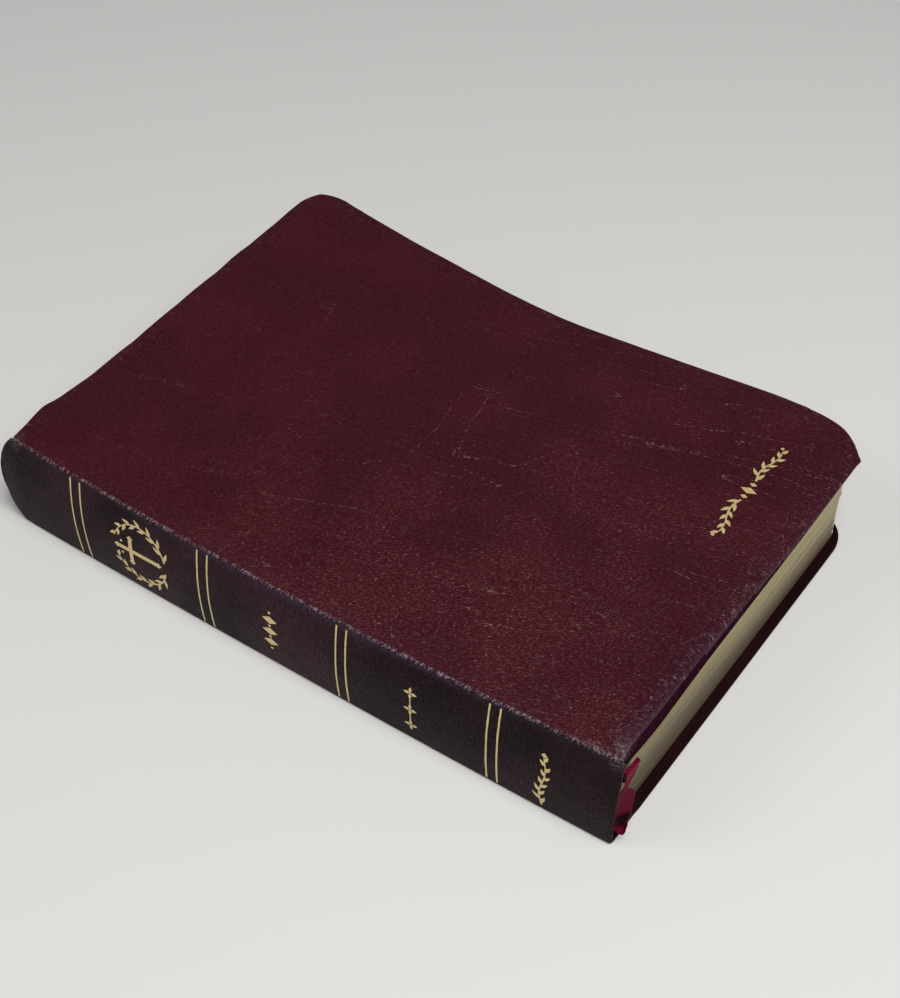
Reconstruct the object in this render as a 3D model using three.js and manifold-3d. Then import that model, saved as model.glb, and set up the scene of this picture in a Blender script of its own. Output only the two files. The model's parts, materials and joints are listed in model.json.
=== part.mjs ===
// A limp-bound study bible, closed and lying on its back cover. Millimetres, +Z up.
// The spine is towards -X, the fore edge towards +X, the head towards +Y and the tail towards -Y.
// The origin is under the middle of the book, on the surface it lies on.
import * as THREE from 'three';
import { mergeVertices } from 'three/addons/utils/BufferGeometryUtils.js';
import Module from 'manifold-3d';

const wasm = await Module();
wasm.setup();

// ---- driving dimensions -------------------------------------------------------------------

const COVER_LENGTH = 240; // head to tail
const COVER_WIDTH = 170; // spine to fore edge
const SPINE_HEIGHT = 39; // closed thickness at the spine
const COVER_CORNER = 15; // radius of the covers' fore corners

const SPINE_X = -COVER_WIDTH / 2; // outermost plane of the spine
const FORE_X = COVER_WIDTH / 2;
const MIDDLE_Z = SPINE_HEIGHT / 2;

const SQUARE = 3.5; // how far the covers stand past the pages at head and tail
const FORE_SQUARE = 5; // and at the fore edge
const PAGE_CORNER = 12;
const PAGE_HALF_LENGTH = COVER_LENGTH / 2 - SQUARE;
const PAGE_FORE_X = FORE_X - FORE_SQUARE;

const SPINE_ROUND = 1.3; // how far the spine's middle stands out past its two ridges
const FORE_HOLLOW = 1.2; // how far the middle pages stand back at the fore edge

// One cover, from its outer face inwards: leather, board, then turned-in leather round a pastedown.
const GAP = 0.3;
const LEATHER = 0.7;
const BOARD = 0.7;
const TURN_IN = 0.6;
const PASTEDOWN = 0.3;
const BOARD_DEPTH = LEATHER + GAP;
const TURN_IN_DEPTH = BOARD_DEPTH + BOARD + GAP;
const COVER_THICKNESS = TURN_IN_DEPTH + TURN_IN;
const TURN_IN_WIDTH = 15;
const LEATHER_WALL = 2; // leather left round the edge of the board's pocket
const PANEL_X = SPINE_X + 14; // the stiff panels start here, past the flexible joint
const JOINT_END_X = PANEL_X - GAP;

// The spine's layers, as depths in from its outer face.
const SPINE_LEATHER = 0.8;
const SPINE_RIDGE_RADIUS = 2.5;
const SPINE_LAYERS = {
  spine_liner: { depth: 1.1, thickness: 0.4, inset: 2, halfLength: 116, material: 'board' },
  spine_lining_paper: { depth: 1.8, thickness: 0.2, inset: 4, halfLength: 114, material: 'kraft' },
  mull: { depth: 2.3, thickness: 0.3, inset: 4, halfLength: 104, material: 'mull' },
};
const THREAD_DEPTH = 2.9;
const THREAD_THICKNESS = 0.4;
const THREAD_WIDTH = 0.8;
const THREAD_STATIONS = [-95, -57, -19, 19, 57, 95];
const SECTION_DEPTH = 3.6; // the folds of the sections

// The text block: sections either side of the opening, and single leaves in the opening.
const FRONT_SECTIONS = 9;
const REAR_SECTIONS = 13;
const SECTION_GAP = 0.15;
const FLYLEAF = 0.25;
const FLYLEAF_CLEARANCE = 0.35;
const BLOCK_BOTTOM = COVER_THICKNESS + FLYLEAF_CLEARANCE + FLYLEAF + GAP;
const LEAF_COUNT = 5;
const LEAF = 0.25;
const LEAF_PITCH = LEAF + GAP;
const LEAF_SET_BACK = 0.6; // single leaves start this far in from the sections' folds
const RIBBON_THICKNESS = 0.4;
const RIBBON_WIDTH = 6.5;
const RIBBON_STEPS = 420; // fine enough for the small loop at its free end
const OPENING = GAP + RIBBON_THICKNESS + GAP + LEAF_COUNT * LEAF_PITCH;
const SECTIONS_DEPTH = SPINE_HEIGHT - 2 * BLOCK_BOTTOM - OPENING + 2 * SECTION_GAP;
const SECTION_PITCH = SECTIONS_DEPTH / (FRONT_SECTIONS + REAR_SECTIONS);
const REAR_TOP = BLOCK_BOTTOM + REAR_SECTIONS * SECTION_PITCH - SECTION_GAP;
const LEAVES_BOTTOM = REAR_TOP + GAP + RIBBON_THICKNESS + GAP;

// The front cover is limp: it stands a little off the pages and its head corner curls up.
const JOINT_RISE = 1.2;
const PUFF = 2.5;
const PUFF_RUN = 10;
const CURL = 12.5;
const CURL_START_X = -45;
const CURL_START_Y = 4;
const CURL_POWER = 1.9;
const DIP = { depth: 2.7, x: -10, run: 85, y: 2, spread: 42 }; // pressed in along the fore edge
const TAIL_LIFT = { height: 1.6, run: 80, y: -88, spread: 25 }; // at the fore edge, near the tail

const HEADBAND_RADIUS = 1;
const HEADBAND_INSET = 4;

// ---- materials ----------------------------------------------------------------------------

function finish(color, roughness) {
  return new THREE.MeshStandardMaterial({ color, roughness, metalness: 0 });
}

const MATERIALS = {
  leather: () => finish(0x41171f, 0.42),
  board: () => finish(0x8d7f6a, 0.85),
  endpaper: () => finish(0x4a2024, 0.7),
  paper: () => finish(0xd8cfae, 0.8),
  kraft: () => finish(0xa58a62, 0.85),
  mull: () => finish(0xe2dcc8, 0.95),
  thread: () => finish(0xece6d6, 0.8),
  headband: () => finish(0x7a1f2b, 0.6),
  ribbon: () => finish(0x8a1228, 0.35),
};

// ---- solids -------------------------------------------------------------------------------

// A three.js geometry as a solid that can be joined and cut.
function toSolid(geometry) {
  const bare = geometry.clone();
  bare.deleteAttribute('normal');
  bare.deleteAttribute('uv');
  const merged = mergeVertices(bare, 1e-4);
  return new wasm.Manifold(new wasm.Mesh({
    numProp: 3,
    vertProperties: new Float32Array(merged.attributes.position.array),
    triVerts: new Uint32Array(merged.index.array),
  }));
}

function toGeometry(solid) {
  const { vertProperties, triVerts } = solid.getMesh();
  const geometry = new THREE.BufferGeometry();
  geometry.setAttribute('position', new THREE.BufferAttribute(vertProperties, 3));
  geometry.setIndex(new THREE.BufferAttribute(triVerts, 1));
  geometry.computeVertexNormals();
  return geometry;
}

function clamp01(t) {
  return Math.min(Math.max(t, 0), 1);
}

function smooth(t) {
  const s = clamp01(t);
  return s * s * (3 - 2 * s);
}

function bell(t) {
  return Math.exp(-t * t);
}

// How far the front cover's outer face lies above the top of the spine.
function rise(x, y) {
  const puff = JOINT_RISE + (PUFF - JOINT_RISE) * smooth((x - PANEL_X) / PUFF_RUN);
  const dip = DIP.depth * smooth((x - DIP.x) / DIP.run) * bell((y - DIP.y) / DIP.spread);
  const lift = TAIL_LIFT.height * smooth(x / TAIL_LIFT.run) * bell((y - TAIL_LIFT.y) / TAIL_LIFT.spread);
  const along = clamp01((x - CURL_START_X) / (PAGE_FORE_X - CURL_START_X));
  const up = clamp01((y - CURL_START_Y) / (PAGE_HALF_LENGTH - CURL_START_Y));
  return puff - dip + lift + CURL * along * up ** CURL_POWER;
}

// A rectangle in plan with both fore corners rounded.
function plan(x0, x1, halfLength, radius) {
  const shape = new THREE.Shape();
  shape.moveTo(x0, -halfLength);
  shape.lineTo(x1 - radius, -halfLength);
  shape.absarc(x1 - radius, -halfLength + radius, radius, -Math.PI / 2, 0, false);
  shape.lineTo(x1, halfLength - radius);
  shape.absarc(x1 - radius, halfLength - radius, radius, 0, Math.PI / 2, false);
  shape.lineTo(x0, halfLength);
  shape.closePath();
  return shape;
}

// A flat plate of that plan, from z0 to z1.
function flatPlate(shape, z0, z1, curveSegments = 6) {
  const settings = { depth: z1 - z0, bevelEnabled: false, curveSegments };
  const plate = new THREE.ExtrudeGeometry(shape, settings);
  plate.translate(0, 0, z0);
  return plate;
}

const PLATE_STEP = 12; // spacing of the points on a rising plate

// A plate of that plan which follows the front cover's rise, from one depth under its outer face to another.
function risingPlate(shape, depthBelow, depthAbove) {
  const columns = Math.round((FORE_X - PANEL_X) / PLATE_STEP);
  const rows = Math.round(COVER_LENGTH / PLATE_STEP);
  const box = new THREE.BoxGeometry(FORE_X - PANEL_X, COVER_LENGTH, 1, columns, rows, 1);
  box.translate((FORE_X + PANEL_X) / 2, 0, 0);
  const position = box.attributes.position;
  for (let i = 0; i < position.count; i += 1) {
    const x = position.getX(i);
    const y = position.getY(i);
    const depth = position.getZ(i) > 0 ? depthAbove : depthBelow;
    position.setZ(i, SPINE_HEIGHT + rise(x, y) - depth);
  }
  const column = flatPlate(shape, 0, SPINE_HEIGHT + CURL * 2);
  return toSolid(box).intersect(toSolid(column));
}

// A closed outline in X and Z, run from -halfLength to +halfLength along Y.
function alongSpine(points, halfLength, middle = 0) {
  const shape = new THREE.Shape(points.map(([x, z]) => new THREE.Vector2(x, z)));
  const bar = new THREE.ExtrudeGeometry(shape, { depth: halfLength * 2, bevelEnabled: false });
  bar.rotateX(Math.PI / 2);
  bar.translate(0, middle + halfLength, 0);
  return bar;
}

// The X of the spine's rounded outer face at a height, moved in by a depth.
function spineX(z, depth) {
  const k = (z - MIDDLE_Z) / MIDDLE_Z;
  return SPINE_X + depth + SPINE_ROUND * k * k;
}

// A thin layer that follows the spine's round.
function spineLayer(depth, thickness, z0, z1, halfLength, middle = 0) {
  const steps = 8;
  const heights = Array.from({ length: steps + 1 }, (_, i) => z0 + ((z1 - z0) * i) / steps);
  const outer = heights.map((z) => [spineX(z, depth), z]);
  const inner = heights.map((z) => [spineX(z, depth + thickness), z]).reverse();
  return alongSpine([...outer, ...inner], halfLength, middle);
}

// ---- pieces -------------------------------------------------------------------------------

// Cover leather with a pocket for the board and, on its inside, a window between the turned-in edges.
function coverLeather(plate, board, pastedown) {
  const pocket = plate(board, TURN_IN_DEPTH, LEATHER);
  const window = plate(pastedown, COVER_THICKNESS + 1, BOARD_DEPTH);
  return toGeometry(plate(coverPlan(0), COVER_THICKNESS, 0).subtract(pocket).subtract(window));
}

function coverPlan(inset) {
  const radius = Math.max(COVER_CORNER - inset, 2);
  return plan(PANEL_X + inset, FORE_X - inset, COVER_LENGTH / 2 - inset, radius);
}

// The back cover's layers lie flat, and depths are measured up from its outer face.
function backPlate(shape, depthBelow, depthAbove) {
  return toSolid(flatPlate(shape, depthAbove, depthBelow));
}

// The leather over the spine, bent round both ridges and out to the joints: a C in section.
function spineLeather() {
  const outer = cSection(0, SPINE_RIDGE_RADIUS);
  const inner = cSection(SPINE_LEATHER, SPINE_RIDGE_RADIUS - SPINE_LEATHER).reverse();
  return alongSpine([...outer, ...inner], COVER_LENGTH / 2);
}

function cSection(depth, radius) {
  const bottom = depth;
  const top = SPINE_HEIGHT - depth;
  const points = [[JOINT_END_X, bottom]];
  const ridgeSteps = 4;
  for (let i = 0; i <= ridgeSteps; i += 1) {
    const turn = (i / ridgeSteps) * (Math.PI / 2);
    const z = bottom + radius * (1 - Math.cos(turn));
    points.push([spineX(bottom + radius, depth) + radius * (1 - Math.sin(turn)), z]);
  }
  const faceSteps = 6;
  for (let i = 1; i < faceSteps; i += 1) {
    const z = bottom + radius + ((top - bottom - 2 * radius) * i) / faceSteps;
    points.push([spineX(z, depth), z]);
  }
  for (let i = 0; i <= ridgeSteps; i += 1) {
    const turn = (i / ridgeSteps) * (Math.PI / 2);
    const z = top - radius * (1 - Math.sin(turn));
    points.push([spineX(top - radius, depth) + radius * (1 - Math.cos(turn)), z]);
  }
  points.push([JOINT_END_X, top]);
  return points;
}

// One folded section of pages. Its fold follows the round of the spine and its fore edge the hollow.
function section(z0, z1) {
  const z = (z0 + z1) / 2;
  const k = (z - MIDDLE_Z) / MIDDLE_Z;
  const fore = PAGE_FORE_X - FORE_HOLLOW * (1 - k * k);
  return flatPlate(plan(spineX(z, SECTION_DEPTH), fore, PAGE_HALF_LENGTH, PAGE_CORNER), z0, z1);
}

function headband(side) {
  const sides = 8;
  const heightSpan = SPINE_HEIGHT - 2 * HEADBAND_INSET;
  const roll = new THREE.CylinderGeometry(HEADBAND_RADIUS, HEADBAND_RADIUS, heightSpan, sides);
  roll.rotateX(Math.PI / 2);
  const x = SPINE_X + SPINE_ROUND + SPINE_LEATHER + GAP + HEADBAND_RADIUS;
  roll.translate(x, side * (PAGE_HALF_LENGTH + GAP + HEADBAND_RADIUS), MIDDLE_Z);
  return roll;
}

// The ribbon lies in the gutter under the single leaves, comes out at the tail,
// is pushed up there in a loop and falls to the table.
const RIBBON_Z = REAR_TOP + GAP + RIBBON_THICKNESS / 2;
const RIBBON_ROUTE = [
  [-76.5, 112.0, RIBBON_Z],
  [-76.0, 75.0, RIBBON_Z],
  [-75.4, 30.0, RIBBON_Z],
  [-74.8, -15.0, RIBBON_Z],
  [-74.2, -60.0, RIBBON_Z],
  [-73.6, -100.0, RIBBON_Z],
  [-73.4, -113.0, RIBBON_Z],
  [-73.5, -116.3, RIBBON_Z],
  [-74.4, -118.1, RIBBON_Z + 1.2],
  [-75.9, -118.9, RIBBON_Z + 3.6],
  [-77.2, -119.1, RIBBON_Z + 6.1],
  [-77.8, -119.5, RIBBON_Z + 7.7],
  [-78.0, -120.1, RIBBON_Z + 7.5],
  [-78.3, -120.4, 25.8],
  [-78.8, -120.3, 22.4],
  [-79.4, -120.0, 18.4],
  [-79.9, -119.9, 14.4],
  [-80.1, -119.9, 10.4],
  [-80.1, -120.2, 6.8],
  [-79.9, -121.0, 4.4],
  [-79.6, -122.1, 3.9],
  [-79.4, -122.8, 5.2],
];

function ribbon() {
  const points = RIBBON_ROUTE.map((p) => new THREE.Vector3(...p));
  const curve = new THREE.CatmullRomCurve3(points, false, 'centripetal');
  const flat = new THREE.Shape();
  const sides = 8;
  for (let i = 0; i < sides; i += 1) {
    const turn = ((i + 0.5) / sides) * Math.PI * 2;
    const reach = 1 / Math.cos(Math.PI / sides);
    const across = (RIBBON_WIDTH / 2) * Math.sin(turn) * reach;
    const through = (RIBBON_THICKNESS / 2) * Math.cos(turn) * reach;
    if (i === 0) flat.moveTo(through, across);
    else flat.lineTo(through, across);
  }
  flat.closePath();
  return new THREE.ExtrudeGeometry(flat, { steps: RIBBON_STEPS, bevelEnabled: false, extrudePath: curve });
}

// ---- the book -----------------------------------------------------------------------------

const bible = new THREE.Group();
bible.name = 'bible';

function add(name, geometry, material) {
  const mesh = new THREE.Mesh(geometry, MATERIALS[material]());
  mesh.name = name;
  bible.add(mesh);
}

const boardPocket = coverPlan(LEATHER_WALL);
const boardPlan = coverPlan(LEATHER_WALL + GAP);
const windowPlan = coverPlan(TURN_IN_WIDTH);
const pastedownPlan = coverPlan(TURN_IN_WIDTH + GAP);

add('cover_leather_back', coverLeather(backPlate, boardPocket, windowPlan), 'leather');
add('back_board', flatPlate(boardPlan, BOARD_DEPTH, BOARD_DEPTH + BOARD), 'board');
add('back_pastedown', flatPlate(pastedownPlan, TURN_IN_DEPTH, TURN_IN_DEPTH + PASTEDOWN), 'endpaper');

add('cover_leather_front', coverLeather(risingPlate, boardPocket, windowPlan), 'leather');
add('front_board', toGeometry(risingPlate(boardPlan, BOARD_DEPTH + BOARD, BOARD_DEPTH)), 'board');
const frontPastedown = risingPlate(pastedownPlan, TURN_IN_DEPTH + PASTEDOWN, TURN_IN_DEPTH);
add('front_pastedown', toGeometry(frontPastedown), 'endpaper');

add('cover_leather_spine', spineLeather(), 'leather');
for (const [name, layer] of Object.entries(SPINE_LAYERS)) {
  const top = SPINE_HEIGHT - layer.inset;
  add(name, spineLayer(layer.depth, layer.thickness, layer.inset, top, layer.halfLength), layer.material);
}
THREAD_STATIONS.forEach((y, i) => {
  const top = SPINE_HEIGHT - BLOCK_BOTTOM;
  const thread = spineLayer(THREAD_DEPTH, THREAD_THICKNESS, BLOCK_BOTTOM, top, THREAD_WIDTH / 2, y);
  add(`sewing_thread_${i + 1}`, thread, 'thread');
});
add('headband_head', headband(1), 'headband');
add('headband_tail', headband(-1), 'headband');

const leafStart = SPINE_X + SECTION_DEPTH + LEAF_SET_BACK;
const leafPlan = plan(leafStart, PAGE_FORE_X - FORE_HOLLOW, PAGE_HALF_LENGTH, PAGE_CORNER);
const backFlyleafZ = COVER_THICKNESS + FLYLEAF_CLEARANCE;
const frontFlyleafZ = SPINE_HEIGHT - backFlyleafZ - FLYLEAF;
add('back_flyleaf', flatPlate(leafPlan, backFlyleafZ, backFlyleafZ + FLYLEAF), 'paper');
add('front_flyleaf', flatPlate(leafPlan, frontFlyleafZ, frontFlyleafZ + FLYLEAF), 'paper');

// Sections are numbered from the front of the book, which is the top one as it lies.
const SECTION_COUNT = FRONT_SECTIONS + REAR_SECTIONS;
for (let i = 0; i < SECTION_COUNT; i += 1) {
  const aboveOpening = i < FRONT_SECTIONS;
  const topOfFront = SPINE_HEIGHT - BLOCK_BOTTOM - i * SECTION_PITCH;
  const topOfRear = BLOCK_BOTTOM + (SECTION_COUNT - i) * SECTION_PITCH - SECTION_GAP;
  const top = aboveOpening ? topOfFront : topOfRear;
  const thickness = SECTION_PITCH - SECTION_GAP;
  add(`section_${String(i + 1).padStart(2, '0')}`, section(top - thickness, top), 'paper');
}

// The single leaves where the book opens, lowest first.
for (let i = 0; i < LEAF_COUNT; i += 1) {
  const z0 = LEAVES_BOTTOM + i * LEAF_PITCH;
  add(`leaf_${i + 1}`, flatPlate(leafPlan, z0, z0 + LEAF), 'paper');
}

add('ribbon_marker', ribbon(), 'ribbon');

export default bible;
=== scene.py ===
import json
import math

import bmesh
import bpy
import numpy as np
from mathutils import Matrix, Vector


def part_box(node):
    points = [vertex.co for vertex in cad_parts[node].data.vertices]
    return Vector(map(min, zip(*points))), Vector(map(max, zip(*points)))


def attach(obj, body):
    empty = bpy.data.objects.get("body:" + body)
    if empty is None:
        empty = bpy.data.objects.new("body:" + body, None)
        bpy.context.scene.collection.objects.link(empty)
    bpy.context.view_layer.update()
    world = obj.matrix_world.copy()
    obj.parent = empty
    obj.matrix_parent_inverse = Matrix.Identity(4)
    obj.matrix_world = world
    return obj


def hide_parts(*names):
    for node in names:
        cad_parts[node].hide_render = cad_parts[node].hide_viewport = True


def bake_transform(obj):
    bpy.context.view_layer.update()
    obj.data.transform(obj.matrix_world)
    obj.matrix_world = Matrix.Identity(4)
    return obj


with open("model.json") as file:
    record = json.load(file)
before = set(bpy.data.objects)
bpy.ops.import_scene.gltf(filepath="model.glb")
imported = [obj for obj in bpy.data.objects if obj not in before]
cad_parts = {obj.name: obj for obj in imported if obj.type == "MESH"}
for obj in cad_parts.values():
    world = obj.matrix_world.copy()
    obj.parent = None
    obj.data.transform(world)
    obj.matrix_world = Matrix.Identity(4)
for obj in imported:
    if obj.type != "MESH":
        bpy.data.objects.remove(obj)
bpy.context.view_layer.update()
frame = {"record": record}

MM = 0.001

# Lengths are in millimetres, in the frame's own axes: the spine towards -X, the head towards +Y,
# the tail towards -Y. The book lies on its back cover at z = 0.


def box_mm(node):
    low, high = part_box(node)
    return np.array(low) / MM, np.array(high) / MM


# ---- driving dimensions ----

SPINE_LOW, SPINE_HIGH = box_mm("cover_leather_spine")
COVER_LOW, COVER_HIGH = box_mm("cover_leather_back")
TOP_SECTION_LOW, TOP_SECTION_HIGH = box_mm("section_01")
SPINE_X = SPINE_LOW[0]
SPINE_TOP = SPINE_HIGH[2]
MIDDLE_Z = SPINE_TOP / 2
FORE_X = COVER_HIGH[0]
PANEL_X = COVER_LOW[0]
HALF_LENGTH = COVER_HIGH[1]
PAGE_HALF_LENGTH = TOP_SECTION_HIGH[1]
PAGE_FORE_X = 82.0
BLOCK_BOTTOM = box_mm("section_22")[0][2]
BLOCK_TOP = TOP_SECTION_HIGH[2]

# Corners seen from above. The front cover's is slanted at the tail, where its bent edge runs out.
COVER_CORNER = 16.0
FRONT_HEAD_CORNER = 13.0
SLANT_RUN = 14.0
SLANT_DROP = 11.5
SLANT_ROUND = 15.0
CORNER_KNEE = 30.0
PAGE_CORNER = 9.0

# The spine's leather bows out at mid height and mid length, and its ridge sags between its ends.
SPINE_ROUND = 1.4
SPINE_BOW = 1.2
RIDGE_SAG = 3.2
RIDGE_RADIUS = 1.3
SPINE_LEATHER = 0.9
SPINE_TURNED_END = 1.3
HEAD_CAP = 9.2

# The covers.
JOINT_END_X = -56.0
LEATHER = 1.0
RIM_THICKNESS = 1.5
COVER_THICKNESS = 2.3
TURN_IN = 15.0
WINDOW_DEPTH = 0.35
EDGE_SPARE = 0.01

# The front cover's tail edge is bent down over the pages.
FLANGE_START_Y = -116.5
FLANGE_END_Y = -120.7
HEAD_EDGE_Y = 119.8
BACK_EDGE_Y = 119.2

# The front cover's rise above the spine's top, the same as that of its boards in the frame.
PUFF = 2.5
CURL = 12.5
CURL_START = (-45.0, 4.0)
CURL_POWER = 1.9
DIP_DEPTH = 2.7
TAIL_LIFT = 1.6


# ---- small maths ----

def clamp01(t):
    return np.clip(t, 0.0, 1.0)


def smooth(t):
    s = clamp01(t)
    return s * s * (3 - 2 * s)


def bell(t):
    return np.exp(-np.square(t))


def unit(vectors):
    """The vectors, each at length 1."""
    return vectors / np.maximum(np.linalg.norm(vectors, axis=-1, keepdims=True), 1e-9)


def noise2(x, y, size, seed):
    """Smooth seeded noise from -1 to 1, with features about `size` mm across."""
    table = np.random.default_rng(seed).uniform(-1, 1, (64, 64))
    u = np.asarray(x, float) / size
    v = np.asarray(y, float) / size
    i = np.floor(u).astype(int)
    j = np.floor(v).astype(int)
    a = smooth(u - i)
    b = smooth(v - j)
    near = table[i % 64, j % 64] * (1 - a) + table[(i + 1) % 64, j % 64] * a
    far = table[i % 64, (j + 1) % 64] * (1 - a) + table[(i + 1) % 64, (j + 1) % 64] * a
    return near * (1 - b) + far * b


def spacing(start, end, step):
    """Evenly spaced values from start to end, about `step` apart."""
    count = max(2, int(round(abs(end - start) / step)) + 1)
    return np.linspace(start, end, count)


def joined(*stretches):
    """Stretches of values that meet end to start, as one row without doubles."""
    return np.concatenate([stretches[0]] + [s[1:] for s in stretches[1:]])


def placed(name, data):
    """A new object of the scene that holds a mesh, a light or the camera."""
    thing = bpy.data.objects.new(name, data)
    bpy.context.scene.collection.objects.link(thing)
    return thing


# ---- camera ----

CAMERA_PLACE = Vector((-349.2, -238.3, 392.2))
CAMERA_TARGET = Vector((-5.8, -7.0, 20.0))
CAMERA_ROLL = math.radians(1.26)
CAMERA_LENS = 58.3
CAMERA_SHIFT_Y = 0.001
CAMERA_NEAR = 0.01


def make_camera():
    data = bpy.data.cameras.new("camera")
    data.lens = CAMERA_LENS
    data.shift_y = CAMERA_SHIFT_Y
    data.clip_start = CAMERA_NEAR
    camera = placed("camera", data)
    forward = (CAMERA_TARGET - CAMERA_PLACE).normalized()
    level = forward.cross(Vector((0, 0, 1))).normalized()
    upward = level.cross(forward)
    right = level * math.cos(CAMERA_ROLL) + upward * math.sin(CAMERA_ROLL)
    up = upward * math.cos(CAMERA_ROLL) - level * math.sin(CAMERA_ROLL)
    turn = Matrix((right, up, -forward)).transposed()
    camera.matrix_world = Matrix.Translation(CAMERA_PLACE * MM) @ turn.to_4x4()
    bpy.context.scene.camera = camera


make_camera()


# ---- materials ----

X, Y, Z = 0, 1, 2


class Graph:
    """A material's node tree, with short calls for the nodes used here. Sizes are in millimetres."""

    def __init__(self, name):
        self.material = bpy.data.materials.new(name)
        self.material.use_nodes = True
        self.nodes = self.material.node_tree.nodes
        self.links = self.material.node_tree.links
        self.nodes.clear()
        self.shader = self.nodes.new("ShaderNodeBsdfPrincipled")
        output = self.nodes.new("ShaderNodeOutputMaterial")
        self.links.new(self.shader.outputs[0], output.inputs[0])
        self.rest = self.attribute("rest", "Vector")

    def feed(self, socket, value):
        if isinstance(value, bpy.types.NodeSocket):
            self.links.new(value, socket)
        elif socket.type == "RGBA":
            socket.default_value = (*value, 1)
        else:
            socket.default_value = value

    def add(self, kind, inputs, output=0, **settings):
        """A new node with its inputs, by name or number, and its settings. Returns one output."""
        node = self.nodes.new(kind)
        for name, value in settings.items():
            setattr(node, name, value)
        for name, value in inputs.items():
            self.feed(node.inputs[name], value)
        return node.outputs[output]

    def attribute(self, name, output="Fac"):
        return self.add("ShaderNodeAttribute", {}, output, attribute_name=name)

    def math(self, operation, a, b=0.0):
        return self.add("ShaderNodeMath", {0: a, 1: b}, operation=operation)

    def times(self, product, *factors):
        for factor in factors:
            product = self.math("MULTIPLY", product, factor)
        return product

    def plus(self, total, *terms):
        for term in terms:
            total = self.math("ADD", total, term)
        return total

    def scaled(self, vector, scale):
        return self.add("ShaderNodeVectorMath", {0: vector, 1: scale}, operation="MULTIPLY")

    def place(self, axis):
        """The rest place along one axis."""
        return self.add("ShaderNodeSeparateXYZ", {0: self.rest}, axis)

    def noise(self, per_mm, detail=2.0, rough=0.5, vector=None, output="Fac"):
        inputs = {"Vector": vector or self.rest, "Scale": per_mm, "Detail": detail, "Roughness": rough}
        return self.add("ShaderNodeTexNoise", inputs, output)

    def stretched(self, per_mm, detail=2.0, rough=0.5, vector=None):
        """Noise with a scale of its own along each axis."""
        return self.noise(1.0, detail, rough, self.scaled(vector or self.rest, per_mm))

    def cells(self, per_mm, feature="F1", vector=None):
        inputs = {"Vector": vector or self.rest, "Scale": per_mm}
        return self.add("ShaderNodeTexVoronoi", inputs, "Distance", feature=feature)

    def turned(self, vector, degrees):
        inputs = {"Vector": vector, "Angle": math.radians(degrees)}
        return self.add("ShaderNodeVectorRotate", inputs, rotation_type="Z_AXIS")

    def dashes(self, vector, degrees, long, wide, detail=1.5, rough=0.6):
        """A noise whose peaks are thin dashes lying one way."""
        return self.stretched((1 / long, 1 / wide, 1 / long), detail, rough, self.turned(vector, degrees))

    def contour(self, noise, wide, thin):
        """Thin lines where a noise passes its middle."""
        return self.ramp(self.math("ABSOLUTE", self.math("SUBTRACT", noise, 0.5)), wide, thin)

    def long_lines(self, vector, degrees, long, wide, thin):
        """Long, nearly straight thin lines lying one way, broken here and there."""
        line = self.contour(self.dashes(vector, degrees, long, wide, 0, 0.5), thin, thin * 0.3)
        return self.times(line, self.ramp(self.noise(0.8, 3), 0.46, 0.62))

    def warped(self, amount, per_mm):
        """The rest place pushed about by coloured noise."""
        push = self.scaled(self.noise(per_mm, output="Color"), (amount, amount, amount))
        return self.add("ShaderNodeVectorMath", {0: self.rest, 1: push}, operation="ADD")

    def ramp(self, value, low, high, out_low=0.0, out_high=1.0):
        inputs = {"Value": value, "From Min": low, "From Max": high, "To Min": out_low, "To Max": out_high}
        return self.add("ShaderNodeMapRange", inputs, "Result", interpolation_type="SMOOTHSTEP")

    def mix(self, factor, a, b):
        return self.add("ShaderNodeMix", {"Factor": factor, 6: a, 7: b}, 2, data_type="RGBA")

    def between(self, value, low, high, a, b):
        """From colour a to colour b as the value goes from low to high."""
        return self.mix(self.ramp(value, low, high), a, b)

    def over(self, color, value, low, high, share, tint):
        """The colour with up to a share of a tint, as the value goes from low to high."""
        return self.mix(self.ramp(value, low, high, 0.0, share), color, tint)

    def bump(self, height, depth):
        return self.add("ShaderNodeBump", {"Strength": 1.0, "Distance": depth * MM, "Height": height})

    def finish(self, color, roughness, normal=None, **constants):
        self.feed(self.shader.inputs["Base Color"], color)
        self.feed(self.shader.inputs["Roughness"], roughness)
        if normal is not None:
            self.feed(self.shader.inputs["Normal"], normal)
        for name, value in constants.items():
            self.shader.inputs[name.replace("_", " ")].default_value = value
        return self.material


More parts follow.
